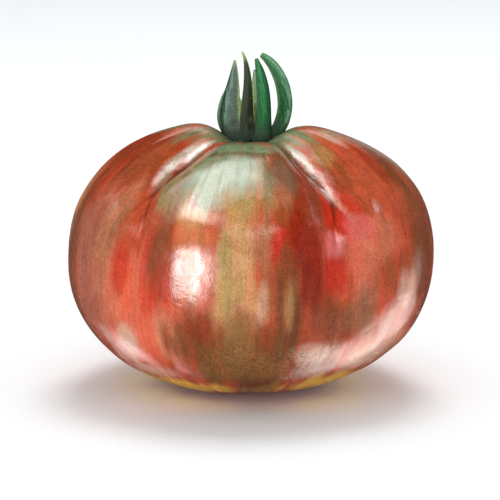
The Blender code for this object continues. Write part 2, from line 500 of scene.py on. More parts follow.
FRONT_WASHES = (
    Wash(Pigment.UMBER, 0, 124, 27, 22, 0.75),
    Wash(Pigment.ROSEWOOD, -74, 34, 36, 22, 0.95),
    Wash(Pigment.SIENNA, -54, 42, 9, 16),
    Wash(Pigment.MAUVE, -63, 92, 15, 36, 0.95),
    Wash(Pigment.CLAY, -53, 78, 6, 24),
    Wash(Pigment.ROSEWOOD, -70, 60, 6, 12, 0.7),
    Wash(Pigment.UMBER, -73, 96, 6, 34, 0.7),
    Wash(Pigment.MAUVE, -82, 66, 6, 22, 0.8),
    Wash(Pigment.BRICK, -44, 66, 5, 20, 0.95),
    Wash(Pigment.CORAL, -40, 108, 11, 28, 1.0),
    # Painted highlight: pale base of the low left crescent.
    Wash(Pigment.PEACH, -45, 118, 5, 9, 0.7),
    Wash(Pigment.SCARLET, -46, 86, 3, 9, 0.7),
    Wash(Pigment.SCARLET, -34, 84, 3.5, 16, 0.55),
    Wash(Pigment.MOSS, -34, 44, 8, 17, 0.95),
    Wash(Pigment.OLIVE, -29, 60, 5, 7, 0.6),
    Wash(Pigment.UMBER, -30, 50, 3.5, 16, 0.6),
    Wash(Pigment.SIENNA, -29.5, 76, 4.5, 14, 0.95),
    Wash(Pigment.SCARLET, -28, 92, 3, 9, 0.45),
    Wash(Pigment.PEACH, -27, 114, 5, 12, 0.7),
    Wash(Pigment.APRICOT, -18, 71, 7, 8, 0.6),
    Wash(Pigment.CORAL, -16, 99, 8, 6),
    # Painted highlight: pale base under the window reflection.
    Wash(Pigment.SHELL, -17.5, 86, 5, 9, 0.5),
    Wash(Pigment.UMBER, -14, 112, 11.0, 14, 0.95),
    Wash(Pigment.ROSEWOOD, -14, 107, 6, 6, 0.8),
    Wash(Pigment.TAN, -4, 74, 7.0, 28, 0.95),
    Wash(Pigment.OLIVE, -3, 56, 14, 9, 0.8),
    Wash(Pigment.OLIVE, -7, 84, 2.2, 16, 0.8),
    Wash(Pigment.CLAY, -2, 110, 5, 14, 0.7),
    Wash(Pigment.CLAY, 4, 70, 4, 18, 0.8),
    Wash(Pigment.TAN, 4, 96, 4, 9, 0.6),
    Wash(Pigment.SHELL, 4.5, 96, 1.7, 9, 0.5),
    Wash(Pigment.UMBER, 2, 108, 8, 8, 0.5),
    Wash(Pigment.SIENNA, 13, 62, 6, 10),
    Wash(Pigment.SCARLET, 9.7, 75, 3.8, 10, 1.0),
    Wash(Pigment.UMBER, 13, 97, 5.5, 22, 0.9),
    Wash(Pigment.TAN, 13, 97, 1.4, 9, 0.5),
    Wash(Pigment.UMBER, 5, 120, 9, 9, 0.4),
    Wash(Pigment.HAZEL, -2, 126, 22, 14, 0.7),
    Wash(Pigment.UMBER, -21, 116, 7, 8, 0.6),
    Wash(Pigment.UMBER, 10, 112, 5, 9, 0.5),
    Wash(Pigment.HAZEL, -3, 112, 5, 10, 0.7),
    Wash(Pigment.CRIMSON, 20, 74, 6, 28, 1.0),
    Wash(Pigment.ROSEWOOD, 24, 46, 7, 22, 0.95),
    Wash(Pigment.SCARLET, 41, 48, 5, 22, 0.9),
    Wash(Pigment.SCARLET, 33, 62, 5, 16, 0.8),
    Wash(Pigment.SCARLET, 29, 86, 5, 9, 0.9),
    # Painted highlight: a soft pink patch on the right lobe.
    Wash(Pigment.ROSE, 29, 76, 4.8, 6, 1.0),
    Wash(Pigment.CORAL, 37, 84, 5.5, 9, 0.85),
    Wash(Pigment.SIENNA, 29, 102, 8, 8, 0.85),
    Wash(Pigment.SIENNA, 44, 40, 7, 12, 0.9),
    Wash(Pigment.OLIVE, 42, 31, 6, 5, 0.6),
    Wash(Pigment.UMBER, 70, 38, 8, 18, 0.7),
    Wash(Pigment.MOSS, 60, 25, 9, 7, 0.6),
    Wash(Pigment.BARK, 66.5, 42, 4, 22, 0.6),
    Wash(Pigment.UMBER, 60, 80, 6, 24, 0.45),
    Wash(Pigment.BRICK, 50, 56, 10, 20, 0.9),
    Wash(Pigment.PEACH, 46, 76, 7, 10, 0.35),
    # Painted highlight: a second soft pink patch on the right lobe.
    Wash(Pigment.ROSE, 39.5, 69, 5.0, 5.5, 0.8),
    Wash(Pigment.SIENNA, 51, 90, 8, 9, 0.8),
    Wash(Pigment.CLAY, 38, 103, 7, 10, 0.8),
    Wash(Pigment.ROSEWOOD, 61, 44, 5, 12, 0.9),
    Wash(Pigment.UMBER, 68, 74, 7, 40, 0.9),
    # Painted highlight: pale base under the low right crescent.
    Wash(Pigment.PEACH, 50, 122, 24, 11, 0.9),
    Wash(Pigment.CLAY, 27, 127, 11, 7, 0.7),
    # Painted highlights: the low right blob and crescent, then the low left crescent.
    Wash(Pigment.SHELL, 22, 118, 6, 6, 0.7),
    Wash(Pigment.SHELL, 49, 106, 5, 8, 0.4),
    Wash(Pigment.SHELL, 54, 95, 4, 6, 0.6),
    Wash(Pigment.SHELL, 49, 125, 9, 7, 0.85),
    Wash(Pigment.SHELL, -44, 115, 4, 7, 0.8),
    Wash(Pigment.SHELL, -54, 126, 6, 5, 0.7),
    # The crest's pale grey-green in these washes is partly its green shoulder, partly a painted highlight.
    Wash(Pigment.SAGE, -11, 38, 21, 17, 0.7),
    Wash(Pigment.LICHEN, -9, 38, 16, 12, 0.85),
    Wash(Pigment.LICHEN, -15.5, 55, 5.5, 9, 0.8),
    Wash(Pigment.TAN, -18, 63, 8, 5, 0.7),
    Wash(Pigment.MOSS, 7, 45, 7, 13, 0.85),
    Wash(Pigment.LICHEN, 9, 46, 5, 7, 0.5),
    Wash(Pigment.BARK, 14, 32, 5, 6, 0.6),
    Wash(Pigment.MOSS, -37, 27, 5, 9, 0.8),
    Wash(Pigment.UMBER, 16, 36, 6, 15, 0.8),
    Wash(Pigment.CLAY, 12, 50, 4, 8, 0.8),
    Wash(Pigment.DUSK, 14, 38, 6, 13, 0.8),
    # Painted highlights: pale streaks along the outer edges of the two front grooves.
    Wash(Pigment.LICHEN, -48.6, 33, 1.8, 17, 0.65),
    Wash(Pigment.LICHEN, 34.8, 31, 1.6, 13, 0.65),
    Wash(Pigment.SHELL, 37.2, 50, 1.2, 11, 0.6),
    Wash(Pigment.SAGE, -6, 22, 36, 8, 0.95),
    Wash(Pigment.SAGE, 0, 0, 400, 17, 0.95),
    # Painted shade: a dark line where the front lobe's crest turns away.
    Wash(Pigment.BARK, -4, 26.5, 27, 2.4, 0.6),
    # Painted highlight: the crest's highlight carried up towards that line.
    Wash(Pigment.LICHEN, -10, 31.5, 13, 4.5, 0.7),
    # Painted highlight: the lower end of the left crescent.
    Wash(Pigment.SHELL, -44, 134, 15, 6, 0.8),
    # Painted highlight: a pale band along the right rim.
    Wash(Pigment.LICHEN, 80, 46, 5.5, 24, 0.8),
    Wash(Pigment.SHELL, 81, 66, 4, 12, 0.6),
    Wash(Pigment.UMBER, 20, 26, 11, 4.5, 0.8),
)

BACK_WASHES = (
    Wash(Pigment.BRICK, 90, 60, 14, 40, 0.9),
    Wash(Pigment.CORAL, 86, 100, 9, 26, 0.7),
    Wash(Pigment.TAN, 98, 84, 5, 28, 0.7),
    Wash(Pigment.CRIMSON, 104, 64, 5, 34, 0.8),
    Wash(Pigment.CLAY, 118, 88, 9, 34, 0.9),
    Wash(Pigment.SCARLET, 126, 70, 4, 26, 0.7),
    Wash(Pigment.OLIVE, 138, 68, 8, 36, 0.9),
    Wash(Pigment.TAN, 143, 98, 6, 24, 0.8),
    Wash(Pigment.SIENNA, 152, 86, 6, 30, 0.8),
    Wash(Pigment.CORAL, 164, 98, 7, 24, 0.8),
    Wash(Pigment.CRIMSON, 175, 66, 6, 34, 0.8),
    Wash(Pigment.BRICK, 186, 88, 7, 32, 0.8),
    Wash(Pigment.TAN, 198, 76, 6, 34, 0.85),
    Wash(Pigment.UMBER, 206, 104, 8, 20, 0.7),
    Wash(Pigment.OLIVE, 214, 66, 7, 28, 0.8),
    Wash(Pigment.SCARLET, 224, 84, 4, 24, 0.8),
    Wash(Pigment.CLAY, 234, 92, 8, 34, 0.9),
    Wash(Pigment.CRIMSON, 247, 64, 6, 34, 0.8),
    Wash(Pigment.CORAL, 256, 100, 8, 26, 0.8),
    Wash(Pigment.SIENNA, 266, 66, 7, 26, 0.7),
    Wash(Pigment.TAN, 275, 88, 6, 28, 0.6),
)

RIM_WASHES = (
    Wash(Pigment.SAGE, 140, 20, 90, 8, 0.7),
    Wash(Pigment.SAGE, 250, 20, 60, 8, 0.7),
    # Painted reflected light: a bright ochre band round the underside, near the floor.
    Wash(Pigment.OCHRE, -40, 146, 48, 8.5, 0.95),
    Wash(Pigment.OCHRE, 40, 144, 28, 8.5, 0.95),
    Wash(Pigment.BARK, 3, 144, 12, 12, 0.6),
    # The same painted reflected light, round the back.
    Wash(Pigment.OCHRE, 110, 147, 50, 9, 0.8),
    Wash(Pigment.OCHRE, 225, 147, 70, 9, 0.8),
)


@dataclass(frozen=True)
class SkinFinish:
    """The waxy skin: washes of ripening colour and painted light, streaked from the stalk to the blossom
    end.

    Attributes:
        washes: The washes, in the order in which they are laid.
        ground: The colour under them.
        exposure: How bright they all are.
        raggedness: How far the patches' edges wander.
        speckle: Where the skin is speckled.
        waxy: Where it shines more.
        dusty: Where it shines less.
        plain_gloss: How strongly it shines elsewhere.
        speck_and_groove_shade: The colour of the specks, and of the painted shade in the grooves' bottoms.
        broad: The slow clouds of colour.
        streak: The streaks.
        hair: The fine lines.
        blotch: The blotches.
        tooth: The pores.
        ripening: How the streaks shift the colour.
        clouding: How the clouds shift it.
        hairlines: How the fine lines shift it.
        blotches: How the blotches shift it.
        pores: How the pores shift it.
    """

    washes: tuple[Wash, ...] = FRONT_WASHES + BACK_WASHES + RIM_WASHES
    ground: Pigment = Pigment.BRICK
    exposure: float = 0.91
    raggedness: float = 0.55
    speckle: tuple[Patch, ...] = (
        Patch(2, 126, 30, 16, 1.0),
        Patch(32, 105, 14, 9, 0.8),
        Patch(-30, 78, 4, 16, 0.5),
        Patch(68, 90, 6, 30, 0.5),
    )
    waxy: tuple[Patch, ...] = (
        Patch(-8, 43, 15, 12, 0.20),
        Patch(-15, 42, 7, 8, 0.45),
        Patch(-2, 42, 6, 4, 0.30),
        Patch(-17, 57, 7, 9, 0.65),
        Patch(-17.4, 86, 7, 13, 0.8),
        Patch(-45.0, 22, 1.6, 8, 0.7),
        Patch(-48.2, 30, 1.7, 8, 1.0),
        Patch(-50.4, 39, 1.7, 9, 1.0),
        Patch(32.4, 22, 1.4, 6, 0.7),
        Patch(35.0, 31, 1.7, 8, 1.0),
        Patch(37.0, 42, 1.5, 9, 0.7),
        Patch(-45, 118, 5, 10, 0.35),
        Patch(22, 118, 8, 6, 0.4),
        Patch(49, 124, 7, 8, 0.4),
        Patch(44, 114, 28, 24, 0.5),
        Patch(-52, 120, 12, 18, 0.35),
    )
    dusty: tuple[Patch, ...] = (
        Patch(-75, 40, 26, 28, 0.5),
        Patch(-53, 36, 6, 20, 0.35),
        Patch(52, 42, 11, 26, 0.45),
        Patch(14, 44, 9, 26, 0.5),
        Patch(28, 30, 3, 18, 0.5),
        Patch(-18, 70, 9, 6, 0.6),
        Patch(62, 106, 4.5, 14, 0.45),
        Patch(-55, 112, 4, 8, 0.3),
        Patch(31, 128, 8, 6, 0.3),
        Patch(44, 52, 4.5, 16, 0.5),
        Patch(37, 63, 9, 11, 0.45),
        Patch(-46, 60, 7, 11, 0.4),
        Patch(-22, 32, 8, 6, 0.3),
        Patch(2, 60, 12, 9, 0.5),
        Patch(-6, 26, 26, 5, 0.2),
        Patch(-44, 86, 4, 22, 0.3),
        Patch(-33, 118, 8, 22, 0.3),
    )
    plain_gloss: float = 0.28
    speck_and_groove_shade: Colour = paint(84, 42, 26)
    broad: Grain = Grain(7, 3, 0.55, 0.8, squash=0.35)
    streak: Grain = Grain(19, 5, 0.62, 1.0, squash=0.16)
    hair: Grain = Grain(62, 3, 0.6, 0.6, squash=0.09)
    blotch: Grain = Grain(260, 4, 0.65, 0.6)
    tooth: Grain = Grain(2400, 3, 0.7)
    ripening: Mottle = Mottle(0.34, (0.575, 0.475, 0.455), 0.66, (0.41, 0.44, 0.42))
    clouding: Mottle = Mottle(0.32, (0.58, 0.47, 0.45), 0.68, (0.45, 0.51, 0.47))
    hairlines: Mottle = Mottle(0.35, (0.56, 0.55, 0.53), 0.68, (0.43, 0.42, 0.41), strength=0.75)
    blotches: Mottle = Mottle(0.34, (0.44, 0.42, 0.41), 0.66, (0.56, 0.56, 0.55), strength=0.9)
    pores: Mottle = Mottle(0.36, (0.38, 0.37, 0.36), 0.64, (0.61, 0.61, 0.60))

    def store(
        self, mesh: bpy.types.Mesh, azimuth: np.ndarray, polar: np.ndarray, groove: np.ndarray
    ) -> None:
        """Paints the washes and writes them, with the other amounts, as attributes of the mesh.

        Args:
            mesh: The fruit's mesh.
            azimuth: Azimuth of each point.
            polar: Polar angle of each point.
            groove: How strongly the painted groove shade covers each point, from 0 to 1.
        """
        turned = np.radians(azimuth)
        meridian = np.stack([np.sin(turned), -np.cos(turned), polar / 90], axis=1)
        ragged = self.raggedness * self.wander(meridian)
        tint = np.tile(np.array(self.ground.value), (len(azimuth), 1))
        for wash in self.washes:
            cover = wash.patch.weight(azimuth, polar, ragged)[:, None]
            tint = tint * (1 - cover) + np.array(wash.pigment.value) * cover
        tint = np.concatenate([tint * self.exposure, np.ones((len(azimuth), 1))], axis=1)
        speckle, waxy, dusty = (
            sum(patch.weight(azimuth, polar, ragged) for patch in patches)
            for patches in (self.speckle, self.waxy, self.dusty)
        )
        gloss = np.clip(self.plain_gloss + waxy - dusty, 0.0, 1.0)
        self.write(mesh, "meridian", "FLOAT_VECTOR", "vector", meridian)
        self.write(mesh, "tint", "FLOAT_COLOR", "color", tint)
        # The groove attribute carries the painted shade along the grooves.
        self.write(mesh, "groove", "FLOAT", "value", groove)
        self.write(mesh, "speckle", "FLOAT", "value", np.minimum(speckle, 1.0))
        self.write(mesh, "gloss", "FLOAT", "value", gloss)

    @staticmethod
    def wander(meridian: np.ndarray) -> np.ndarray:
        """Noise that draws the washes' edges out along the meridians.

        Args:
            meridian: Two parts of each point's azimuth, and its polar angle.

        Returns:
            The noise at each point, round 0.
        """
        coarse = [noise.noise(Vector((x * 7, y * 7, z * 2.2))) for x, y, z in meridian]
        fine = [noise.noise(Vector((x * 26, y * 26, z * 4.5))) for x, y, z in meridian]
        return np.array(coarse) + 0.7 * np.array(fine)

    @staticmethod
    def write(mesh: bpy.types.Mesh, name: str, kind: str, key: str, values: np.ndarray) -> None:
        """Writes an attribute of the mesh's points."""
        made = mesh.attributes.new(name, kind, "POINT")
        made.data.foreach_set(key, values.astype(np.float32).ravel())

    def dress(self) -> bpy.types.Material:
        """Builds the skin's material.

        Returns:
            The material.
        """
        graph = Graph("tomato_skin")
        meridian = graph.attribute("meridian", "Vector")
        place = graph.place()
        broad = graph.noise(meridian, self.broad)
        streaks = graph.noise(meridian, self.streak)
        hairs = graph.noise(meridian, self.hair)
        blotches = graph.noise(place, self.blotch)
        tooth = graph.noise(place, self.tooth)

        colour = graph.attribute("tint", "Color")
        colour = graph.mottle(colour, streaks, self.ripening)
        colour = graph.mottle(colour, broad, self.clouding)
        colour = graph.mottle(colour, hairs, self.hairlines)
        colour = graph.mottle(colour, blotches, self.blotches)
        colour = graph.mottle(colour, tooth, self.pores)

        specks = graph.span(tooth, 0.47, 0.60, 0.0, 0.85)
        specks = graph.math("MULTIPLY", graph.attribute("speckle"), specks)
        colour = graph.blend(specks, colour, self.speck_and_groove_shade)
        # Painted shade: the grooves' bottoms are darkened with the same dark brown, along a ragged edge.
        ragged = graph.span(streaks, 0.3, 0.7, -0.15, 0.15)
        ragged = graph.math("ADD", graph.attribute("groove"), ragged)
        colour = graph.blend(graph.span(ragged, 0.35, 0.95, 0.0, 0.85), colour, self.speck_and_groove_shade)
        graph.cover(colour)
        shine = graph.span(streaks, 0.3, 0.7, 0.6, 1.3)
        shine = graph.math("MULTIPLY", graph.attribute("gloss"), shine)
        graph.gloss(graph.span(blotches, 0.3, 0.7, 0.17, 0.30), shine)
        relief = graph.math("MULTIPLY", blotches, 0.8)
        relief = graph.math("ADD", relief, graph.math("MULTIPLY", tooth, 0.1))
        graph.bump(relief, 0.3, 0.6 * MM)
        return graph.material


@dataclass(frozen=True)
class Rib:
    """One lobe of the fruit, from the groove at its start to the next groove.

    Attributes:
        groove_azimuth: Where the groove at its start runs.
        groove_depth: How deep that groove is.
        groove_bow: How far that groove bows sideways, in degrees.
        radius: The lobe's distance from the axis at its widest.
        top: Height of its shoulder.
    """

    groove_azimuth: float
    groove_depth: float
    groove_bow: float
    radius: float
    top: float


@dataclass
class RibbedFruit:
    """The berry: five unequal lobes round a sunken seat, flat under the blossom end.

    Attributes:
        ribs: The lobes.
        equator: Height at which the lobes are widest.
        below_equator: How far the fruit reaches below that height.
        shoulder_fullness: How square the lobes are above it, where 2 is an ellipse.
        belly_fullness: How square they are below it.
        lean: How far the fruit leans towards +X for each metre of height.
        seat_height: Height of the hollow's floor, where the calyx sits.
        seat_radius: Radius of the hollow.
        seat_steepness: How steep its wall is.
        groove_peak: Polar angle at which the grooves are deepest.
        groove_spread: How far they run up and down from there, in degrees.
        groove_sharpness: How roundly the lobes fall into them. A lower number is sharper.
        groove_round: How round their bottoms are.
        groove_shade_width: Breadth of the painted shade along their bottoms.
        groove_shade_peak: Polar angle at which that painted shade is darkest.
        groove_shade_spread: How far the painted shade runs up and down from there, in degrees.
        valley_depth: Depth of the wide valleys that the grooves run out into.
        valley_peak: Polar angle at which the valleys are deepest.
        valley_spread: How far they run up from there, in degrees.
        valley_spread_below: How far they run down from there, in degrees.
        valley_sharpness: How roundly the lobes fall into them.
        bow_peak: Polar angle at which the grooves bow the most.
        bow_spread: How far the bow runs up and down from there, in degrees.
        swell: Height of the skin's slow swells.
        ripple: Height of its ripples.
        pleat_depth: Depth of the creases round the calyx.
        pleat_radius: Distance from the axis at which they are deepest.
        pleat_spread: How far they run in and out from there.
        rest_round: How softly the underside turns into its flat spot.
        scar_depth: Depth of the blossom scar.
        scar_radius: Radius of the blossom scar.
        columns_per_rib: Points round each lobe.
        rings: Rings of points from top to bottom.
        finish: The skin's finish.
    """

    ribs: tuple[Rib, ...] = (
        Rib(-40.0, 6.6 * MM, -7.5, 43.5 * MM, 64.4 * MM),
        Rib(29.0, 6.8 * MM, 7.0, 47.1 * MM, 67.6 * MM),
        Rib(104.0, 5.6 * MM, 1.5, 43.2 * MM, 63.4 * MM),
        Rib(176.0, 5.2 * MM, -2.0, 43.0 * MM, 63.2 * MM),
        Rib(247.0, 5.8 * MM, 0.0, 45.6 * MM, 68.0 * MM),
    )
    equator: float = 33.5 * MM
    below_equator: float = 34.4 * MM
    shoulder_fullness: float = 2.35
    belly_fullness: float = 2.2
    lean: float = 0.028
    seat_height: float = 61.2 * MM
    seat_radius: float = 9.5 * MM
    seat_steepness: float = 2.4
    groove_peak: float = 40.0
    groove_spread: float = 30.0
    groove_sharpness: float = 0.55
    groove_round: float = 0.02
    groove_shade_width: float = 0.11
    groove_shade_peak: float = 38.0
    groove_shade_spread: float = 34.0
    valley_depth: float = 2.3 * MM
    valley_peak: float = 88.0
    valley_spread: float = 36.0
    valley_spread_below: float = 20.0
    valley_sharpness: float = 0.9
    bow_peak: float = 50.0
    bow_spread: float = 17.0
    swell: float = 0.35 * MM
    ripple: float = 0.12 * MM
    pleat_depth: float = 0.7 * MM
    pleat_radius: float = 9.0 * MM
    pleat_spread: float = 4.5 * MM
    rest_round: float = 0.5 * MM
    scar_depth: float = 0.5 * MM
    scar_radius: float = 2.2 * MM
    columns_per_rib: int = 64
    rings: int = 296
    finish: SkinFinish = SkinFinish()

    def around(self, values: Sequence[float], stations: Sequence[float], azimuth: np.ndarray) -> np.ndarray:
        """Eases between values that stand at rising azimuths, all the way round.

        Args:
            values: A value for each station.
            stations: The azimuths that they hold at.
            azimuth: Where to read them.

        Returns:
            The eased values.
        """
        ends = np.append(stations, stations[0] + 360)
        looped = np.append(values, values[0])
        azimuth = (azimuth - ends[0]) % 360 + ends[0]
        place = np.clip(np.searchsorted(ends, azimuth, side="right") - 1, 0, len(values) - 1)
        share = ease((azimuth - ends[place]) / (ends[place + 1] - ends[place]))
        return looped[place] + (looped[place + 1] - looped[place]) * share

    @staticmethod
    def bulge(turn: np.ndarray) -> np.ndarray:
        """How far each point is from the grooves: 0 in a groove and 1 at a lobe's middle."""
        return 4 * (turn % 1) * (1 - turn % 1)

    def dent(self, turn: np.ndarray, polar: np.ndarray, depth: np.ndarray) -> np.ndarray:
        """How far the grooves, and the valleys that they run out into, press the skin in.

        Args:
            turn: Lobes counted from the first groove.
            polar: Polar angle in degrees.
            depth: The full depth of the grooves at each point.

        Returns:
            The dent at each point.
        """
        bulge = self.bulge(turn)
        start = self.groove_round**self.groove_sharpness
        rise = (bulge + self.groove_round) ** self.groove_sharpness - start
        whole = (1 + self.groove_round) ** self.groove_sharpness - start
        groove = depth * bell(polar, self.groove_peak, self.groove_spread) * (1 - rise / whole)
        spread = np.where(polar < self.valley_peak, self.valley_spread, self.valley_spread_below)
        valley = self.valley_depth * bell(polar, self.valley_peak, spread)
        return groove + valley * (1 - bulge**self.valley_sharpness)

    def skin(self, turn: np.ndarray, polar: np.ndarray) -> tuple[np.ndarray, ...]:
        """The skin's shape, before its small unevenness.

        Args:
            turn: Lobes counted from the first groove.
            polar: Polar angle in degrees.

        Returns:
            Azimuth, distance from the fruit's axis, height and sideways lean of each point.
        """
        grooves = np.array([rib.groove_azimuth for rib in self.ribs])
        ends = np.append(grooves, grooves[0] + 360)
        centres = (ends[:-1] + ends[1:]) / 2
        lobe = turn.astype(int)
        azimuth = ends[lobe] + (turn - lobe) * (ends[lobe + 1] - ends[lobe])
        radius = self.around([rib.radius for rib in self.ribs], centres, azimuth)
        top = self.around([rib.top for rib in self.ribs], centres, azimuth)
        depth = self.around([rib.groove_depth for rib in self.ribs], grooves, azimuth)
        bow = self.around([rib.groove_bow for rib in self.ribs], grooves, azimuth)
        sine, cosine = np.sin(np.radians(polar)), np.cos(np.radians(polar))
        upper = cosine > 0
        power = np.where(upper, 2 / self.shoulder_fullness, 2 / self.belly_fullness)
        reach = np.where(upper, top - self.equator, -self.below_equator)
        dent = self.dent(turn, polar, depth)
        out = radius * np.abs(sine) ** power - dent * sine
        height = self.equator + reach * np.abs(cosine) ** power - dent * cosine
        away = 1 - np.exp(-((np.maximum(out, 0) / self.seat_radius) ** self.seat_steepness))
        sunk = self.seat_height + (height - self.seat_height) * away
        height = np.where(upper, sunk, height)
        azimuth = azimuth + bow * bell(polar, self.bow_peak, self.bow_spread)
        return azimuth, out, height, self.lean * (height - self.seat_height)

    def points(self, turn: np.ndarray, polar: np.ndarray) -> tuple[np.ndarray, np.ndarray]:
        """The skin's points, with its unevenness, the flat spot and the blossom scar.

        Args:
            turn: Lobes counted from the first groove.
            polar: Polar angle in degrees.

        Returns:
            The azimuth of each point, and its place.
        """
        azimuth, out, height, lean = self.skin(turn, polar)
        wave = self.irregular(azimuth, polar)
        out = out + wave * np.sin(np.radians(polar))
        height = height + wave * np.cos(np.radians(polar)) - self.pleats(azimuth, out)
        height = (height + np.sqrt(height**2 + self.rest_round**2)) / 2
        height = height + self.scar_depth * bell(out, 0.0, self.scar_radius) * (polar > 90)
        turned = np.radians(azimuth)
        return azimuth, np.stack([out * np.sin(turned) + lean, -out * np.cos(turned), height], axis=1)

    def irregular(self, azimuth: np.ndarray, polar: np.ndarray) -> np.ndarray:
        """Slow swells of the skin, a few tenths of a millimetre, as grown fruit has.

        Args:
            azimuth: Azimuth of each point.
            polar: Polar angle of each point.

        Returns:
            How far each point is moved outwards.
        """
        turned, low = np.radians(azimuth), np.radians(polar)
        spots = np.stack([np.sin(low) * np.sin(turned), -np.sin(low) * np.cos(turned), np.cos(low)], axis=1)
        slow = np.array([noise.noise(Vector(spot * 3.0)) for spot in spots])
        ribs = np.array([noise.noise(Vector((x * 9, y * 9, z * 1.5))) for x, y, z in spots])
        return self.swell * slow + self.ripple * ribs * np.sin(low)

    def pleats(self, azimuth: np.ndarray, out: np.ndarray) -> np.ndarray:
        """Small creases that run out from the seat under the calyx.

        Args:
            azimuth: Azimuth of each point.
            out: Distance of each point from the fruit's axis.

        Returns:
            How far each point is pressed down.
        """
        turned = np.radians(azimuth)
        wave = np.array([noise.noise(Vector((math.sin(a) * 4, -math.cos(a) * 4, 7.0))) for a in turned])
        return self.pleat_depth * np.abs(wave) * bell(out, self.pleat_radius, self.pleat_spread)

    def groove_shade_cover(self, turn: np.ndarray, polar: np.ndarray) -> np.ndarray:
        """How strongly the painted shade in the grooves covers each point, from 0 to 1.

        Args:
            turn: Lobes counted from the first groove.
            polar: Polar angle in degrees.

        Returns:
            The cover at each point.
        """
        along = (polar - self.groove_shade_peak) / self.groove_shade_spread
        return np.exp(-self.bulge(turn) / self.groove_shade_width) * np.exp(-(along**4))

    def build(self) -> bpy.types.Object:
        """Builds and dresses the fruit.

        Returns:
            The fruit's object.
        """
        columns = self.columns_per_rib * len(self.ribs)
        bpy.ops.object.select_all(action="DESELECT")
        bpy.ops.mesh.primitive_uv_sphere_add(segments=columns, ring_count=self.rings, radius=1)
        obj = bpy.context.object
        mesh = obj.data
        sphere = np.empty(len(mesh.vertices) * 3, np.float32)
        mesh.vertices.foreach_get("co", sphere)
        sphere = sphere.reshape(-1, 3).astype(float)
        share = (np.arctan2(sphere[:, 1], sphere[:, 0]) / math.tau) % 1
        turn = np.floor(share * columns + 0.25) % columns / self.columns_per_rib
        polar = np.degrees(np.arccos(np.clip(sphere[:, 2], -1, 1)))
        azimuth, points = self.points(turn, polar)
        mesh.vertices.foreach_set("co", points.astype(np.float32).ravel())
        mesh.update()
        self.finish.store(mesh, azimuth, polar, self.groove_shade_cover(turn, polar))
        mesh.materials.append(self.finish.dress())
        seat(obj, "tomato_fruit", "fruit")
        return obj


class Tone(Enum):
    """The greens of a calyx leaf: its body, its painted shade, its painted highlight streak and its margin.
    """

    SLATE = (paint(80, 96, 84), paint(26, 38, 30), paint(122, 172, 152), paint(150, 172, 110))
    BOTTLE = (paint(44, 54, 28), paint(26, 34, 18), paint(70, 84, 50), paint(176, 196, 112))
    LEAF = (paint(20, 98, 50), paint(12, 58, 30), paint(64, 142, 84), paint(40, 96, 50))
    FERN = (paint(44, 112, 62), paint(22, 62, 32), paint(140, 184, 156), paint(70, 120, 64))


